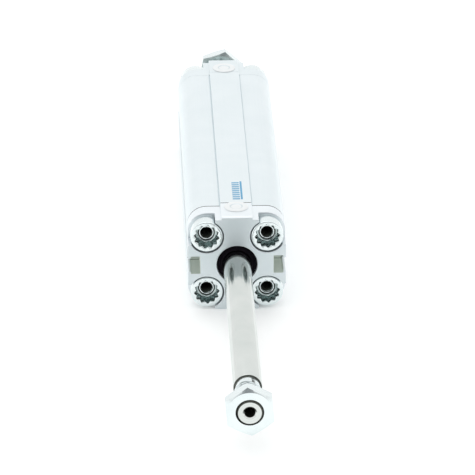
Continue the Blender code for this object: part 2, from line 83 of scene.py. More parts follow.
OVERSHOOT = 0.001  # how far a cutter runs past the face that it opens
CORNER_RADIUS = 0.007
STRIP_HALF_WIDTH = 0.0057
FOOT_GROOVE = 0.0003
BORE_RADIUS = 0.010
SEAM_GAP = 0.00016  # how far the barrel stands back from the front cap
SLOT_MOUTH = 0.0026
SLOT_INSIDE = 0.0034
SLOT_LIP = 0.0010
SLOT_DEPTH = 0.00445
CHANNEL_RADIUS = 0.0038

CAP_LENGTH = 0.0125
SPIGOT_RADIUS = 0.0097
NOTCH_RADIUS = 0.00633
NOTCH_WALL = 0.0079
NOTCH_DEPTH = 0.0065
RECESS_RADIUS = 0.00735
RECESS_DEPTH = 0.0078
RECESS_CHAMFER = 0.00025
BUSH_SEAT_RADIUS = 0.00605
PORT_RADIUS = 0.0021
PORT_FLOOR = 0.0083
BOSS_EDGE = 0.0006
PLUG_GAP = 0.00015  # between a plug and its port
PLUG_LINE_INNER = 0.0019
PLUG_LINE_OUTER = 0.0023
PLUG_LINE_DEPTH = 0.0005

HEAD_LENGTH = 0.0060
SHANK_RADIUS = 0.0035
LOBES = 12
LOBE_TIP = 0.0046
LOBE_ROOT = 0.0038
SPLINE_FLOOR = 0.0041
RIM_GROOVE_OUTER = 0.0031
RIM_GROOVE_INNER = 0.0027
RIM_GROOVE_FLOOR = 0.0050
COLLAR_BORE = 0.0020
M5_PITCH = 0.0008
M5_DEPTH = 0.0003

PRINT_START = 0.0155  # from the front face
PRINT_LENGTH = 0.0162
PRINT_THICKNESS = 0.00004
PRINT_BARS = 9
PRINT_BAR_SHARE = 0.55  # of each step, the rest is bare
PRINT_BAR_LEFT = -0.0010
PRINT_BAR_RIGHT = 0.0017
PRINT_LINE_LEFT = 0.0020
PRINT_LINE_RIGHT = 0.0027

ROD_RADIUS = 0.005
WIPER_GAP = 0.00015  # between a wiper's lip and the rod
THREAD_RADIUS = 0.0049
THREAD_LENGTH = 0.0192
THREAD_PITCH = 0.00125
THREAD_DEPTH = 0.00077
THREAD_ROOT = THREAD_RADIUS - THREAD_DEPTH
THREAD_END = 0.0041
UNDERCUT_RADIUS = 0.0044
UNDERCUT_LENGTH = 0.0040
CENTRE_HOLE = 0.0019
CENTRE_MOUTH = 0.0024
CENTRE_DEPTH = 0.010
RING_GROOVE_RADIUS = 0.0044
RING_GROOVE_WIDTH = 0.0013
RING_FROM_MIDDLE = 0.0058
NUT_ACROSS_FLATS = 0.016
NUT_BORE = 0.0048
NUT_MOUTH = 0.00486
NUT_FACE_RADIUS = 0.0075
NUT_CHAMFER = 0.0011
FRONT_NUT_TURN = 5
REAR_NUT_TURN = -12

# The camera at the photograph's viewing angle
FLOOR_GAP = 0.0001  # between the object's underside and the floor
FLOOR_REACH = 8
CAMERA_AZIMUTH = -2.096
CAMERA_ELEVATION = 24.584
CAMERA_DISTANCE = 1.562
CAMERA_FIELD = 6.312
CAMERA_AIM = Vector((0.0003, FRONT_FACE_Y + 0.0041, AXIS_HEIGHT + 0.00895))


# ---------------------------------------------------------------- materials


def new_material(name, colour, metallic, roughness):
    """A Principled material with its node tree, its shader and object coordinates."""
    made = bpy.data.materials.new(name)
    made.use_nodes = True
    nodes = made.node_tree.nodes
    shader = nodes["Principled BSDF"]
    shader.inputs["Base Color"].default_value = (*colour, 1)
    shader.inputs["Metallic"].default_value = metallic
    shader.inputs["Roughness"].default_value = roughness
    made.diffuse_color = (*colour, 1)
    return made, nodes, made.node_tree.links, shader


def noise(nodes, links, scale, stretch=(1, 1, 1), detail=4):
    """Noise over the object's own coordinates, stretched along its axes."""
    place = nodes.new("ShaderNodeTexCoord")
    mapping = nodes.new("ShaderNodeMapping")
    mapping.inputs["Scale"].default_value = stretch
    links.new(place.outputs["Object"], mapping.inputs["Vector"])
    texture = nodes.new("ShaderNodeTexNoise")
    texture.inputs["Scale"].default_value = scale
    texture.inputs["Detail"].default_value = detail
    links.new(mapping.outputs["Vector"], texture.inputs["Vector"])
    return texture.outputs["Fac"]


def spread(nodes, links, source, low, high, start=0.3, end=0.7):
    """A noise value turned into a number between low and high."""
    ramp = nodes.new("ShaderNodeMapRange")
    ramp.inputs["From Min"].default_value = start
    ramp.inputs["From Max"].default_value = end
    ramp.inputs["To Min"].default_value = low
    ramp.inputs["To Max"].default_value = high
    links.new(source, ramp.inputs["Value"])
    return ramp.outputs["Result"]


def tint(nodes, links, source, first, second, start=0.3, end=0.7):
    """A noise value turned into a colour between two colours."""
    ramp = nodes.new("ShaderNodeValToRGB")
    ramp.color_ramp.elements[0].position = start
    ramp.color_ramp.elements[1].position = end
    ramp.color_ramp.elements[0].color = (*first, 1)
    ramp.color_ramp.elements[1].color = (*second, 1)
    links.new(source, ramp.inputs["Fac"])
    return ramp.outputs["Color"]


def bump(nodes, links, shader, source, strength, distance):
    """Raises the surface a little where the noise is high."""
    made = nodes.new("ShaderNodeBump")
    made.inputs["Strength"].default_value = strength
    made.inputs["Distance"].default_value = distance
    links.new(source, made.inputs["Height"])
    links.new(made.outputs["Normal"], shader.inputs["Normal"])


def surface(name, colours, metallic, roughness, grain, relief):
    """A material whose colour drifts slowly, and whose roughness and relief follow a fine grain.

    colours is (darker, lighter), roughness is (low, high), grain is (scale, stretch along x, y and
    z) and relief is (strength, distance in metres).
    """
    made, nodes, links, shader = new_material(name, colours[1], metallic, roughness[1])
    drift = noise(nodes, links, 90, detail=3)
    links.new(tint(nodes, links, drift, *colours), shader.inputs["Base Color"])
    fine = noise(nodes, links, *grain)
    links.new(spread(nodes, links, fine, *roughness), shader.inputs["Roughness"])
    bump(nodes, links, shader, fine, *relief)
    return made


ANODISED = surface(
    "anodised_extrusion",
    ((0.755, 0.820, 0.842), (0.785, 0.845, 0.866)),
    0.9,
    (0.34, 0.44),
    (1500, (1, 0.02, 1)),
    (0.25, 0.00003),
)
CAST = surface(
    "cap_blasted",
    ((0.80, 0.85, 0.875), (0.84, 0.885, 0.91)),
    0.88,
    (0.36, 0.48),
    (2600, (1, 1, 1)),
    (0.3, 0.00004),
)
# The caps' machined front faces; the same darker metal is also painted on the plugs as a ring of shade.
FACED_AND_RING_SHADE = surface(
    "cap_machined_face_and_plug_ring_shade",
    ((0.63, 0.70, 0.72), (0.69, 0.75, 0.77)),
    0.9,
    (0.36, 0.46),
    (3200, (1, 1, 1)),
    (0.3, 0.00003),
)
ZINC = surface(
    "zinc_plating",
    ((0.75, 0.82, 0.83), (0.83, 0.89, 0.89)),
    1.0,
    (0.14, 0.26),
    (900, (1, 1, 1)),
    (0.12, 0.00004),
)
# Painted shade: a darker zinc for the screws' twelve-pointed recesses and the nuts' inner faces, where shade
# falls.
ZINC_PAINTED_SHADE = surface(
    "zinc_painted_shade",
    ((0.34, 0.42, 0.42), (0.58, 0.65, 0.64)),
    1.0,
    (0.12, 0.24),
    (900, (1, 1, 1)),
    (0.12, 0.00004),
)
CHROME = surface(
    "ground_chrome",
    ((0.63, 0.67, 0.65), (0.69, 0.72, 0.70)),
    1.0,
    (0.10, 0.18),
    (1800, (0.08, 1, 0.08)),
    (0.10, 0.00002),
)
# Painted shade: a darker, greener anodised tone for the shaded walls inside the sensor slots.
SLOT_PAINTED_SHADE = surface(
    "slot_painted_shade",
    ((0.61, 0.67, 0.615), (0.72, 0.765, 0.72)),
    0.9,
    (0.45, 0.60),
    (1500, (1, 0.02, 1)),
    (0.2, 0.00003),
)
# Painted shade: near-black for bores, the rod's shoulder and thread roots, and other places where shade
# falls.
PAINTED_DARK_SHADE = surface(
    "painted_dark_shade",
    ((0.035, 0.040, 0.034), (0.085, 0.090, 0.078)),
    0.7,
    (0.30, 0.50),
    (1600, (1, 1, 1)),
    (0.2, 0.00003),
)
# Near-black for the faces inside the seam between barrel and front cap: partly the cap's seal, partly
# painted shade in the gap.
SEAM_SEAL_AND_SHADE = surface(
    "seam_sealant_and_painted_shade",
    ((0.020, 0.020, 0.022), (0.040, 0.040, 0.042)),
    0.0,
    (0.60, 0.80),
    (1800, (1, 1, 1)),
    (0.2, 0.00003),
)
RUBBER = surface(
    "seal_rubber",
    ((0.003, 0.002, 0.004), (0.007, 0.005, 0.008)),
    0.0,
    (0.45, 0.65),
    (2200, (1, 1, 1)),
    (0.3, 0.00004),
)
RUBBER.node_tree.nodes["Principled BSDF"].inputs["Specular IOR Level"].default_value = 0.05
WHITE = surface(
    "moulded_white",
    ((0.765, 0.795, 0.80), (0.80, 0.825, 0.83)),
    0.0,
    (0.30, 0.42),
    (1400, (1, 1, 1)),
    (0.12, 0.00003),
)
BRONZE = surface(
    "oiled_bronze",
    ((0.42, 0.28, 0.13), (0.58, 0.40, 0.20)),
    0.9,
    (0.35, 0.60),
    (3000, (1, 1, 1)),
    (0.35, 0.00005),
)
MAGNET = surface(
    "bonded_ferrite",
    ((0.05, 0.05, 0.055), (0.10, 0.10, 0.105)),
    0.1,
    (0.50, 0.75),
    (2600, (1, 1, 1)),
    (0.3, 0.00005),
)
GUIDE = surface(
    "guide_polymer",
    ((0.66, 0.60, 0.47), (0.76, 0.71, 0.58)),
    0.0,
    (0.40, 0.60),
    (1800, (1, 0.1, 1)),
    (0.2, 0.00003),
)
PRINT = surface(
    "blue_print",
    ((0.05, 0.26, 0.47), (0.10, 0.36, 0.58)),
    0.0,
    (0.40, 0.60),
    (2400, (1, 1, 1)),
    (0.2, 0.00001),
)

SLOT_LOOKS = {
    "anodised_aluminium": ANODISED,
    "machined_aluminium": CAST,
    "zinc_plated_steel": ZINC,
    "sintered_bronze": BRONZE,
    "bonded_magnet": MAGNET,
    "black_rubber": RUBBER,
    "guide_plastic": GUIDE,
}


# ---------------------------------------------------------------- mesh helpers


def make_object(name, mesh, look=None):
    """A bmesh as an object with its faces pointing out."""
    bmesh.ops.recalc_face_normals(mesh, faces=mesh.faces)
    data = bpy.data.meshes.new(name)
    mesh.to_mesh(data)
    mesh.free()
    if look:
        data.materials.append(look)
    made = bpy.data.objects.new(name, data)
    bpy.context.scene.collection.objects.link(made)
    return made


def smooth(made, angle=30):
    """Shades an object smooth, apart from edges sharper than the angle."""
    made.data.shade_smooth()
    made.data.set_sharp_from_angle(angle=math.radians(angle))


def ring_stack(name, rings, closed, look=None):
    """Joins rings of points into one skin; a ring with one point is a pole."""
    mesh = bmesh.new()
    levels = [[mesh.verts.new(point) for point in ring] for ring in rings]
    pairs = list(zip(levels, levels[1:]))
    if closed:
        pairs.append((levels[-1], levels[0]))
    for low, high in pairs:
        count = max(len(low), len(high))
        for i in range(count):
            j = (i + 1) % count
            if len(low) == 1:
                corners = (low[0], high[i], high[j])
            elif len(high) == 1:
                corners = (low[i], low[j], high[0])
            else:
                corners = (low[i], low[j], high[j], high[i])
            mesh.faces.new(corners)
    made = make_object(name, mesh, look)
    smooth(made)
    return made


def ring(radius, y, sides):
    """Points around the Y axis; radius is a number or a function of the angle and y."""
    if radius == 0:
        return [(0, y, 0)]
    points = []
    for i in range(sides):
        angle = 2 * math.pi * i / sides
        reach = radius(angle, y) if callable(radius) else radius
        points.append((reach * math.cos(angle), y, reach * math.sin(angle)))
    return points


def turned(name, profile, look=None, sides=72):
    """A solid of revolution around the Y axis."""
    rings = [ring(radius, y, sides) for radius, y in profile]
    return ring_stack(name, rings, profile[0][0] != 0, look)


def prism(name, outline, low, high, look=None):
    """An outline drawn out along Y."""
    mesh = bmesh.new()
    base = mesh.faces.new([mesh.verts.new((x, low, z)) for x, z in outline])
    drawn = bmesh.ops.extrude_face_region(mesh, geom=[base])["geom"]
    moved = [item for item in drawn if isinstance(item, bmesh.types.BMVert)]
    bmesh.ops.translate(mesh, verts=moved, vec=(0, high - low, 0))
    return make_object(name, mesh, look)


def peg(name, radius, low, high, x=0, z=0, sides=64):
    """A plain round cutter along Y."""
    made = turned(name, [(0, low), (radius, low), (radius, high), (0, high)], sides=sides)
    made.location = (x, 0, z)
    return made


def arc(centre_x, centre_z, radius, start, end, steps):
    """Points along an arc, from one angle in degrees to another."""
    angles = [math.radians(start + (end - start) * i / steps) for i in range(steps + 1)]
    return [(centre_x + radius * math.cos(a), centre_z + radius * math.sin(a)) for a in angles]


def settle(made):
    """Turns an object's modifiers into its mesh."""
    graph = bpy.context.evaluated_depsgraph_get()
    data = bpy.data.meshes.new_from_object(made.evaluated_get(graph))
    made.modifiers.clear()
    made.data = data


def combine(made, tool, operation):
    """Cuts, joins or intersects an object with a tool, which is used up."""
    modifier = made.modifiers.new("shape", "BOOLEAN")
    modifier.operation = operation
    modifier.object = tool
    settle(made)
    bpy.data.objects.remove(tool, do_unlink=True)


def tidy_faces(made):
    """Merges doubled points and flat neighbours that the cuts left behind."""
    mesh = bmesh.new()
    mesh.from_mesh(made.data)
    bmesh.ops.remove_doubles(mesh, verts=mesh.verts, dist=0.000002)
    bmesh.ops.dissolve_limit(
        mesh, angle_limit=math.radians(1), verts=mesh.verts, edges=mesh.edges, delimit={"MATERIAL"}
    )
    mesh.to_mesh(made.data)
    mesh.free()


def dress(made, look, chosen):
    """Gives one more look to the faces that a test on (normal, middle) chooses."""
    made.data.materials.append(look)
    index = len(made.data.materials) - 1
    for face in made.data.polygons:
        if chosen(face.normal, face.center):
            face.material_index = index


def in_bore(normal, middle, radius):
    """Whether a face is part of the wall of a round hole along the axis."""
    return abs(normal.y) < 0.5 and math.hypot(middle.x, middle.z) < radius + 0.00002


def in_slot(normal, middle):
    """Whether a face is a wall of a sensor slot, behind the slot's mouth."""
    inside = abs(middle.z) < SLOT_INSIDE + 0.0001 and HALF_SIDE - SLOT_DEPTH - 0.0001 < abs(middle.x)
    return inside and abs(middle.x) < HALF_SIDE - SLOT_LIP + 0.0001 and abs(normal.y) < 0.5


def soften(made, width, segments=2, sharp=50):
    """Rounds the sharp edges of a cut shape, and shades its flat faces flat."""
    modifier = made.modifiers.new("edges", "BEVEL")
    modifier.width = width
    modifier.segments = segments
    modifier.limit_method = "ANGLE"
    modifier.angle_limit = math.radians(32)
    modifier.use_clamp_overlap = False
    modifier.miter_outer = "MITER_ARC"
    settle(made)
    made.data.shade_smooth()
    made.data.set_sharp_from_angle(angle=math.radians(sharp))
    modifier = made.modifiers.new("shading", "WEIGHTED_NORMAL")
    modifier.keep_sharp = True
    modifier.weight = 90
    settle(made)


def attach(made, body, slot, *nodes):
    """Rides on a body and stands for CAD nodes, which it hides. The slot is not used."""
    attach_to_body(made, body)
    if nodes:
        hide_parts(*nodes)


def copy_of(made, name):
    """A second object with the same mesh."""
    twin = bpy.data.objects.new(name, made.data)
    bpy.context.scene.collection.objects.link(twin)
    return twin


def put(made, x=0, y=0, z=AXIS_HEIGHT, turn_y=0, turn_z=0):
    """Places an object, by default on the bore's axis."""
    made.location = (x, y, z)
    made.rotation_euler = (0, math.radians(turn_y), math.radians(turn_z))


def rounded(corner_radius, corner_y, size, radial, axial, steps=3):
    """A rounded corner of a turned profile, where two straight runs meet at a right angle.

    radial and axial are the signs of the directions away from the corner along each run. The
    points go from the run along the axis to the run along the radius.
    """
    centre_r = corner_radius + radial * size
    centre_y = corner_y + axial * size
    points = []
    for i in range(steps + 1):
        angle = math.pi / 2 * i / steps
        across = centre_r - radial * size * math.cos(angle)
        along = centre_y - axial * size * math.sin(angle)
        points.append((across, along))
    return points


# ---------------------------------------------------------------- housing


def body_outline(grooved):
    """Half of the profile listed, and the other half mirrored; the barrel has foot grooves."""
    centre = HALF_SIDE - CORNER_RADIUS
    throat = HALF_SIDE - SLOT_LIP
    floor = HALF_SIDE - SLOT_DEPTH
    slot = [(HALF_SIDE, -SLOT_MOUTH), (throat, -SLOT_MOUTH), (throat, -SLOT_INSIDE), (floor, -SLOT_INSIDE)]
    slot += [(x, -z) for x, z in reversed(slot)]
    right = arc(centre, -centre, CORNER_RADIUS, -90, 0, 18)
    right += slot
    right += arc(centre, centre, CORNER_RADIUS, 0, 90, 18)
    if grooved:
        right += [
            (STRIP_HALF_WIDTH + FOOT_GROOVE, HALF_SIDE),
            (STRIP_HALF_WIDTH + FOOT_GROOVE / 2, HALF_SIDE - FOOT_GROOVE),
        ]
    right += [(STRIP_HALF_WIDTH, HALF_SIDE), (STRIP_HALF_WIDTH, STRIP_TOP)]
    return right + [(-x, z) for x, z in reversed(right)]


def screw_places():
    """The (x, z) place of each collar screw, with a name for its corner."""
    for side, x in (("left", -SCREW_OFFSET), ("right", SCREW_OFFSET)):
        for level, z in (("lower", -SCREW_OFFSET), ("upper", SCREW_OFFSET)):
            yield f"{level}_{side}", x, z


def make_barrel():
    low, high = BARREL_LOW.y + SEAM_GAP, BARREL_HIGH.y
    made = prism("profile_barrel", body_outline(True), low, high, ANODISED)
    combine(made, peg("bore", BORE_RADIUS, low - OVERSHOOT, high + OVERSHOOT, sides=96), "DIFFERENCE")
    for _, x, z in screw_places():
        channel = peg("channel", CHANNEL_RADIUS, low - OVERSHOOT, high + OVERSHOOT, x, z, 48)
        combine(made, channel, "DIFFERENCE")
    tidy_faces(made)
    # Painted shade: a darker tone on the slot walls, and near-black on the front end face inside the seam.
    dress(made, SLOT_PAINTED_SHADE, in_slot)
    dress(made, SEAM_SEAL_AND_SHADE, lambda normal, middle: normal.y < -0.9)
    soften(made, 0.00014)
    put(made)
    attach(made, "housing", "anodised_aluminium", "barrel")


def notch_outline():
    """One corner's notch: a round seat around the screw that opens to the corner."""
    beyond = HALF_SIDE + 2 * OVERSHOOT
    wall = NOTCH_WALL - SCREW_OFFSET
    turn = math.degrees(math.asin(wall / NOTCH_RADIUS))
    seat = arc(SCREW_OFFSET, SCREW_OFFSET, NOTCH_RADIUS, turn, -270 - turn, 48)
    return seat + [(NOTCH_WALL, beyond), (beyond, beyond), (beyond, NOTCH_WALL)]


def boss_edge_cutter():
    """A wedge that cuts the small bevel along the front edge of the port boss."""
    mesh = bmesh.new()
    wide = STRIP_HALF_WIDTH + OVERSHOOT
    corners = [
        (-OVERSHOOT, STRIP_TOP - BOSS_EDGE - OVERSHOOT),
        (BOSS_EDGE + OVERSHOOT, STRIP_TOP + OVERSHOOT),
        (-OVERSHOOT, STRIP_TOP + OVERSHOOT),
    ]
    left = [mesh.verts.new((-wide, y, z)) for y, z in corners]
    right = [mesh.verts.new((wide, y, z)) for y, z in corners]
    mesh.faces.new(left)
    mesh.faces.new(right)
    for i in range(3):
        j = (i + 1) % 3
        mesh.faces.new((left[i], left[j], right[j], right[i]))
    return make_object("boss_edge", mesh)


def cap_mesh():
    """A cap with its outer face at y = 0 and its spigot towards +Y."""
    made = prism("front_end_cap", body_outline(False), 0, CAP_LENGTH, CAST)
    combine(made, peg("spigot", SPIGOT_RADIUS, RECESS_DEPTH, CAP_TOTAL, sides=96), "UNION")
    passage = [
        (0, -OVERSHOOT),
        (RECESS_RADIUS + RECESS_CHAMFER + OVERSHOOT, -OVERSHOOT),
        (RECESS_RADIUS, RECESS_CHAMFER),
        (RECESS_RADIUS, RECESS_DEPTH),
        (BUSH_SEAT_RADIUS, RECESS_DEPTH),
        (BUSH_SEAT_RADIUS, CAP_TOTAL + OVERSHOOT),
        (0, CAP_TOTAL + OVERSHOOT),
    ]
    combine(made, turned("passage", passage, sides=96), "DIFFERENCE")
    for _, x, z in screw_places():
        outline = [(math.copysign(px, x), math.copysign(pz, z)) for px, pz in notch_outline()]
        combine(made, prism("notch", outline, -OVERSHOOT, NOTCH_DEPTH), "DIFFERENCE")
        hole = peg("hole", CHANNEL_RADIUS, NOTCH_DEPTH - OVERSHOOT, CAP_LENGTH + OVERSHOOT, x, z, 48)
        combine(made, hole, "DIFFERENCE")
    port = peg("port", PORT_RADIUS, PORT_FLOOR, STRIP_TOP + OVERSHOOT, sides=48)
    port.rotation_euler = (math.radians(90), 0, 0)
    port.location = (0, PORT_FROM_FACE, 0)
    combine(made, port, "DIFFERENCE")
    combine(made, boss_edge_cutter(), "DIFFERENCE")
    tidy_faces(made)
    dress(made, FACED_AND_RING_SHADE, lambda normal, middle: normal.y < -0.9 and middle.y < 0.0001)
    # Painted shade: a darker tone on the slot walls, and near-black on the faces towards the barrel, inside
    # the seam.
    dress(made, SLOT_PAINTED_SHADE, in_slot)
    dress(made, SEAM_SEAL_AND_SHADE, lambda normal, middle: normal.y > 0.9)
    soften(made, 0.00016)
    return made


def make_caps():
    front = cap_mesh()
    rear = copy_of(front, "rear_end_cap")
    for slot in rear.material_slots:
        if slot.material in (CAST, SEAM_SEAL_AND_SHADE):
            slot.link = "OBJECT"
            slot.material = ANODISED
    put(front, y=FRONT_FACE_Y)
    put(rear, y=REAR_FACE_Y, turn_z=180)
    attach(front, "housing", "machined_aluminium", "front_cap")
    attach(rear, "housing", "machined_aluminium", "rear_cap")


def thread_height(turn):
    """Height of a 60 degree thread, from 0 at the root to 1 on the crest, at a part of a turn."""
    ramp = abs(turn % 1 - 0.5) * 2
    return min(max((ramp - 0.25) / 0.625, 0), 1)


def lobed(extra):
    """The radius of the twelve-pointed recess, made wider by an extra."""

    def reach(angle, y):
        ramp = abs(LOBES * angle / (2 * math.pi) % 1 - 0.5) * 2
        return LOBE_ROOT + extra + (LOBE_TIP - LOBE_ROOT) * ramp

    return reach


def bore_thread(angle, y):
    """The wall of the collar screw's M5 bore."""
    turn = y / M5_PITCH + angle / (2 * math.pi)
    return COLLAR_BORE + M5_DEPTH * (1 - thread_height(turn))


def in_spline(normal, middle):
    """Whether a face of the collar screw is in its twelve-pointed recess, below the rim."""
    reach = math.hypot(middle.x, middle.z)
    return RIM_GROOVE_INNER < reach < LOBE_TIP + 0.00005 and 0.0005 < middle.y < SPLINE_FLOOR + 0.0001


def in_screw_bore(normal, middle):
    """Whether a face of the collar screw is in its threaded bore or in the groove around it."""
    reach = math.hypot(middle.x, middle.z)
    in_groove = RIM_GROOVE_INNER - 0.00002 < reach < RIM_GROOVE_OUTER and middle.y > SPLINE_FLOOR + 0.0002
    return in_groove or reach < RIM_GROOVE_INNER - 0.0002 and middle.y > SPLINE_FLOOR + 0.00045


def make_screws():
    """Eight collar screws with one shared mesh, each turned a little differently."""
    threads_start = SPLINE_FLOOR + 0.0004
    thread_steps = 72
    rows = [(COLLAR_BORE, SCREW_LENGTH), (SHANK_RADIUS - 0.0004, SCREW_LENGTH)]
    rows += [(SHANK_RADIUS, SCREW_LENGTH - 0.0004), (SHANK_RADIUS, HEAD_LENGTH)]
    rows += [(HEAD_RADIUS - 0.0003, HEAD_LENGTH), (HEAD_RADIUS, HEAD_LENGTH - 0.0003)]
    rows += rounded(HEAD_RADIUS, 0, 0.0004, -1, 1, 4)
    rows += [(lobed(0.00028), 0), (lobed(0.00016), 0.00004), (lobed(0.00006), 0.00012)]
    rows += [(lobed(0), 0.00028), (lobed(0), SPLINE_FLOOR - 0.0003), (lobed(-0.0002), SPLINE_FLOOR)]
    rows += [(RIM_GROOVE_OUTER + 0.0002, SPLINE_FLOOR), (RIM_GROOVE_OUTER, SPLINE_FLOOR + 0.0001)]
    rows += [(RIM_GROOVE_OUTER - 0.00005, RIM_GROOVE_FLOOR), (RIM_GROOVE_INNER, RIM_GROOVE_FLOOR)]
    rows += [(RIM_GROOVE_INNER, SPLINE_FLOOR + 0.0001), (RIM_GROOVE_INNER - 0.0001, SPLINE_FLOOR)]
    rows += [(COLLAR_BORE + M5_DEPTH, SPLINE_FLOOR), (COLLAR_BORE + M5_DEPTH / 2, threads_start - 0.0001)]
    for i in range(thread_steps + 1):
        rows.append((bore_thread, threads_start + i * M5_PITCH / 8))
    rows += [(COLLAR_BORE, threads_start + (thread_steps + 1) * M5_PITCH / 8)]
    first = turned("collar_screw", rows, ZINC, 8 * LOBES)
    # Painted shade: a darker zinc in the recess, and near-black in the threaded bore and the groove around
    # it.
    dress(first, ZINC_PAINTED_SHADE, in_spline)
    dress(first, PAINTED_DARK_SHADE, in_screw_bore)
    turns = random.Random(4)
    for end, face_y, inward, turn_z in (("front", FRONT_FACE_Y, 1, 0), ("rear", REAR_FACE_Y, -1, 180)):
        for corner, x, z in screw_places():
            screw = copy_of(first, f"{end}_collar_screw_{corner}")
            turn = turns.uniform(0, 360)
            put(screw, x, face_y + inward * HEAD_BELOW_FACE, AXIS_HEIGHT + z, turn, turn_z)
            attach(screw, "housing", "zinc_plated_steel", f"{end}_screw_{corner}")
    bpy.data.objects.remove(first, do_unlink=True)


def make_wipers():
    """The outer rod seals, with a rounded body and a thin lip that leans out along the rod."""
    outer = WIPER_HIGH.x
    lip = ROD_RADIUS + WIPER_GAP
    profile = [(lip + 0.0009, 0.0044), (outer, 0.0044)]
    profile += rounded(outer, 0.0014, 0.0003, -1, 1)
    profile += [(lip + 0.0013, 0.00145), (lip + 0.0010, 0.0013), (lip + 0.00065, 0.0009)]
    profile += [(lip + 0.0005, 0.00081), (lip + 0.0003, 0.0008), (lip + 0.0001, 0.00088)]
    profile += [(lip, 0.0011), (lip + 0.0001, 0.0022)]
    front = turned("front_wiper_ring", profile, RUBBER)
    rear = copy_of(front, "rear_wiper_ring")
    put(front, y=FRONT_FACE_Y)
    put(rear, y=REAR_FACE_Y, turn_z=180)
    attach(front, "housing", "black_rubber", "front_rod_wiper")
    attach(rear, "housing", "black_rubber", "rear_rod_wiper")


def on_plug_shade_ring(normal, middle):
    """Whether a face is on the ring around the dished middle of a plug, which gets painted shade."""
    reach = math.hypot(middle.x, middle.z)
    return PLUG_LINE_INNER < reach < PLUG_LINE_OUTER and middle.y > -PLUG_LINE_DEPTH


def make_plugs():
    """The white plugs in the air ports, with a dished middle and a thin round flange."""
    flange = (PLUG_HIGH.x - PLUG_LOW.x) / 2
    shank = PORT_RADIUS - PLUG_GAP
    length = PLUG_HIGH.z - PLUG_LOW.z
    lift = PLUG_HIGH.z - AXIS_HEIGHT - STRIP_TOP
    under = -lift * 2 / 3 + 0.00003
    profile = [(0, -0.0002), (0.0012, -0.00019), (0.0019, -0.00017), (0.00205, -0.00013)]
    profile += [(0.0022, -0.00003), (0.0024, 0), (0.0036, 0), (flange - 0.0002, -0.00006)]
    profile += [(flange - 0.00004, -0.00014), (flange, -0.0003), (flange, under), (shank, under)]
    profile += [(shank, -0.001), (shank - 0.0002, -length + 0.0003), (shank - 0.0005, -length), (0, -length)]
    front = turned("front_plug", profile, WHITE)
    # Painted shade: a grey ring of the caps' machined metal around the dish.
    dress(front, FACED_AND_RING_SHADE, on_plug_shade_ring)
    rear = copy_of(front, "rear_plug")
    for plug, y in ((front, FRONT_FACE_Y + PORT_FROM_FACE), (rear, REAR_FACE_Y - PORT_FROM_FACE)):
        plug.location = (0, y, PLUG_HIGH.z - lift / 3)
        plug.rotation_euler = (math.radians(90), 0, 0)
    attach(front, "housing", "white_plastic", "front_port_plug")
    attach(rear, "housing", "white_plastic", "rear_port_plug")


def make_print():
    """A plain blue scale printed on the strip: one long line with evenly spaced bars beside it."""
    top = AXIS_HEIGHT + STRIP_TOP
    start = FRONT_FACE_Y + PRINT_START
    step = PRINT_LENGTH / PRINT_BARS
    boxes = [(PRINT_LINE_LEFT, PRINT_LINE_RIGHT, start, start + PRINT_LENGTH)]
    for i in range(PRINT_BARS):
        low = start + i * step
        boxes.append((PRINT_BAR_LEFT, PRINT_BAR_RIGHT, low, low + step * PRINT_BAR_SHARE))
    mesh = bmesh.new()
    for x0, x1, y0, y1 in boxes:
        low, high = top - PRINT_THICKNESS / 2, top + PRINT_THICKNESS / 2
        sheet = [mesh.verts.new(p) for p in ((x0, y0, low), (x1, y0, low), (x1, y1, low), (x0, y1, low))]
        base = mesh.faces.new(sheet)
        drawn = bmesh.ops.extrude_face_region(mesh, geom=[base])["geom"]
        moved = [item for item in drawn if isinstance(item, bmesh.types.BMVert)]
        bmesh.ops.translate(mesh, verts=moved, vec=(0, 0, high - low))
    made = make_object("printed_bars", mesh, PRINT)
    attach(made, "housing", None)


# ---------------------------------------------------------------- rod and nuts


def rod_thread(angle, y):
    """The rod's M10 thread at either end, cut back inside a nut and by the chamfer at its tip."""
    end = ROD_HIGH.y
    crest = NUT_BORE - 0.0001 if abs(y) > NUT_INNER_FACE - 0.0001 else THREAD_RADIUS
    turn = y / THREAD_PITCH + angle / (2 * math.pi)
    cut = THREAD_RADIUS - THREAD_DEPTH * (1 - thread_height(turn))
    return min(cut, crest, THREAD_END + end - abs(y))


def in_rod_painted_shade(normal, middle):
    """Whether a face of the rod gets painted shade: centre hole, shoulder, thread root or end inside a nut.
    """
    reach = math.hypot(middle.x, middle.z)
    along = abs(middle.y) - (ROD_HIGH.y - THREAD_LENGTH)
    on_shoulder = reach < THREAD_RADIUS - 0.00015 and abs(along) < 0.00015
    on_root = THREAD_ROOT - 0.0001 < reach < THREAD_ROOT + 0.0002 and along > UNDERCUT_LENGTH + THREAD_PITCH
    in_nut = reach > THREAD_END - 0.0001 and abs(middle.y) > NUT_INNER_FACE
    return reach < CENTRE_HOLE or on_shoulder or on_root or in_nut


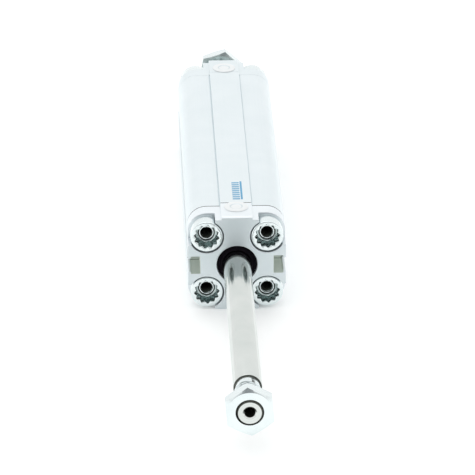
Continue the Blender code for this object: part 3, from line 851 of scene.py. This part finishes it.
def make_rod():
    """The through rod, turned as one profile from its rear half and the mirrored front half."""
    end = ROD_HIGH.y
    shoulder = end - THREAD_LENGTH
    groove_in = RING_FROM_MIDDLE - RING_GROOVE_WIDTH / 2
    groove_out = RING_FROM_MIDDLE + RING_GROOVE_WIDTH / 2
    rows = [
        (ROD_RADIUS, groove_in),
        (RING_GROOVE_RADIUS, groove_in),
        (RING_GROOVE_RADIUS, groove_out),
        (ROD_RADIUS, groove_out),
        (ROD_RADIUS, shoulder - 0.0004),
        (ROD_RADIUS - 0.0001, shoulder - 0.00012),
        (ROD_RADIUS - 0.0004, shoulder),
        (UNDERCUT_RADIUS + 0.0002, shoulder),
        (UNDERCUT_RADIUS, shoulder + 0.0002),
        (UNDERCUT_RADIUS, shoulder + UNDERCUT_LENGTH),
    ]
    first = shoulder + UNDERCUT_LENGTH + 0.0002
    step = THREAD_PITCH / 12
    for i in range(int((end - 0.00002 - first) / step) + 1):
        rows.append((rod_thread, first + i * step))
    rows += [(THREAD_END, end - 0.00001), (THREAD_END - 0.00008, end), (CENTRE_MOUTH + 0.00005, end)]
    rows += [(CENTRE_MOUTH, end - 0.00005), (CENTRE_HOLE, end - CENTRE_MOUTH + CENTRE_HOLE)]
    rows += [(CENTRE_HOLE, end - CENTRE_DEPTH), (0, end - CENTRE_DEPTH - CENTRE_HOLE / 2)]
    front = [(radius, -y) for radius, y in reversed(rows)]
    made = turned("chromed_rod", front + rows, CHROME)
    dress(made, ZINC, lambda normal, at: abs(at.y) > shoulder and math.hypot(at.x, at.z) > THREAD_ROOT)
    # Painted shade: near-black on the centre hole, the shoulder, the thread roots and the thread inside the
    # nuts.
    dress(made, PAINTED_DARK_SHADE, in_rod_painted_shade)
    smooth(made, 35)
    put(made)
    attach(made, "rod", "hard_chrome", "piston_rod")


def nut_mesh():
    """A thin hexagon nut with a corner up and its middle at y = 0."""
    half = (NUT_HIGH.y - NUT_LOW.y) / 2
    outline = arc(0, 0, NUT_ACROSS_FLATS / math.sqrt(3), 90, 390, 5)
    made = prism("front_lock_nut", outline, -half, half, ZINC)
    wide = NUT_FACE_RADIUS + 2 * NUT_CHAMFER
    narrow = NUT_FACE_RADIUS - 2 * OVERSHOOT
    hull = [
        (0, -half - OVERSHOOT),
        (narrow, -half - OVERSHOOT),
        (wide, NUT_CHAMFER - half),
        (wide, half - NUT_CHAMFER),
        (narrow, half + OVERSHOOT),
        (0, half + OVERSHOOT),
    ]
    combine(made, turned("nut_hull", hull, sides=96), "INTERSECT")
    mouth = NUT_MOUTH - NUT_BORE
    hole = [
        (0, -half - OVERSHOOT),
        (NUT_MOUTH + OVERSHOOT, -half - OVERSHOOT),
        (NUT_BORE, mouth - half),
        (NUT_BORE, half - mouth),
        (NUT_MOUTH + OVERSHOOT, half + OVERSHOOT),
        (0, half + OVERSHOOT),
    ]
    combine(made, turned("nut_hole", hole, sides=96), "DIFFERENCE")
    tidy_faces(made)
    # Painted shade: a darker zinc on the inner face, towards the housing, and near-black in the bore.
    dress(made, ZINC_PAINTED_SHADE, lambda normal, middle: normal.y > 0.3)
    dress(made, PAINTED_DARK_SHADE, lambda normal, middle: in_bore(normal, middle, NUT_BORE))
    soften(made, 0.00008, sharp=18)
    return made


def make_nuts():
    front = nut_mesh()
    rear = copy_of(front, "rear_lock_nut")
    y = (NUT_LOW.y + NUT_HIGH.y) / 2
    put(front, y=y, turn_y=-FRONT_NUT_TURN)
    put(rear, y=-y, turn_y=REAR_NUT_TURN, turn_z=180)
    attach(front, "front_nut", "zinc_plated_steel", "front_nut")
    attach(rear, "rear_nut", "zinc_plated_steel", "rear_nut")


# ---------------------------------------------------------------- inside pieces


def dress_hidden_nodes():
    """Gives each CAD node that isn't replaced the look of its material slot."""
    for part in frame["record"]["subparts"]:
        node = frame["nodes"][part["node"]]
        look = SLOT_LOOKS.get(part["material_slot"])
        if node.hide_render or not look:
            continue
        for slot in node.material_slots:
            slot.material = look


# ---------------------------------------------------------------- stage


def make_floor():
    mesh = bmesh.new()
    reach = FLOOR_REACH
    corners = ((-reach, -reach), (reach, -reach), (reach, reach), (-reach, reach))
    mesh.faces.new([mesh.verts.new((x, y, 0)) for x, y in corners])
    look, nodes, links, shader = new_material("pale_floor", (0.93, 0.94, 0.94), 0.0, 0.9)
    shader.inputs["Specular IOR Level"].default_value = 0.0
    shader.inputs["Emission Color"].default_value = (1, 1, 1, 1)
    shader.inputs["Emission Strength"].default_value = 0.14
    made = make_object("floor", mesh, look)
    made.location = (0, 0, -FLOOR_GAP)


def make_world():
    """A white studio with a softly darker side behind the camera."""
    world = bpy.data.worlds.new("studio")
    bpy.context.scene.world = world
    world.use_nodes = True
    nodes, links = world.node_tree.nodes, world.node_tree.links
    background = nodes["Background"]
    place = nodes.new("ShaderNodeTexCoord")
    dot = nodes.new("ShaderNodeVectorMath")
    dot.operation = "DOT_PRODUCT"
    low = math.radians(5)
    dot.inputs[1].default_value = (0, -math.cos(low), math.sin(low))
    links.new(place.outputs["Generated"], dot.inputs[0])
    ramp = nodes.new("ShaderNodeValToRGB")
    ramp.color_ramp.elements[0].position = 0.74
    ramp.color_ramp.elements[0].color = (1.0, 1.0, 1.0, 1)
    ramp.color_ramp.elements[1].position = 0.97
    ramp.color_ramp.elements[1].color = (0.10, 0.11, 0.12, 1)
    links.new(dot.outputs["Value"], ramp.inputs["Fac"])
    links.new(ramp.outputs["Color"], background.inputs["Color"])
    background.inputs["Strength"].default_value = 1.05


def make_light():
    """One large soft light overhead."""
    data = bpy.data.lights.new("overhead", "AREA")
    data.shape = "RECTANGLE"
    data.size = 1.6
    data.size_y = 1.6
    data.energy = 4
    made = bpy.data.objects.new("overhead", data)
    made.location = (-0.3, 0.2, 1.6)
    made.rotation_euler = (Vector((0, 0.04, 0)) - made.location).to_track_quat("-Z", "Y").to_euler()
    bpy.context.scene.collection.objects.link(made)


def make_camera():
    across = math.radians(CAMERA_AZIMUTH)
    down = math.radians(CAMERA_ELEVATION)
    back = Vector((math.sin(across) * math.cos(down), -math.cos(across) * math.cos(down), math.sin(down)))
    data = bpy.data.cameras.new("camera")
    data.angle = math.radians(CAMERA_FIELD)
    data.clip_start = 0.05
    data.clip_end = 50
    made = bpy.data.objects.new("camera", data)
    made.location = CAMERA_AIM + back * CAMERA_DISTANCE
    made.rotation_euler = (-back).to_track_quat("-Z", "Y").to_euler()
    bpy.context.scene.collection.objects.link(made)
    bpy.context.scene.camera = made


make_barrel()
make_caps()
make_screws()
make_wipers()
make_plugs()
make_print()
make_rod()
make_nuts()
dress_hidden_nodes()
make_floor()
make_world()
make_light()
make_camera()
bpy.context.scene.view_settings.view_transform = "Standard"
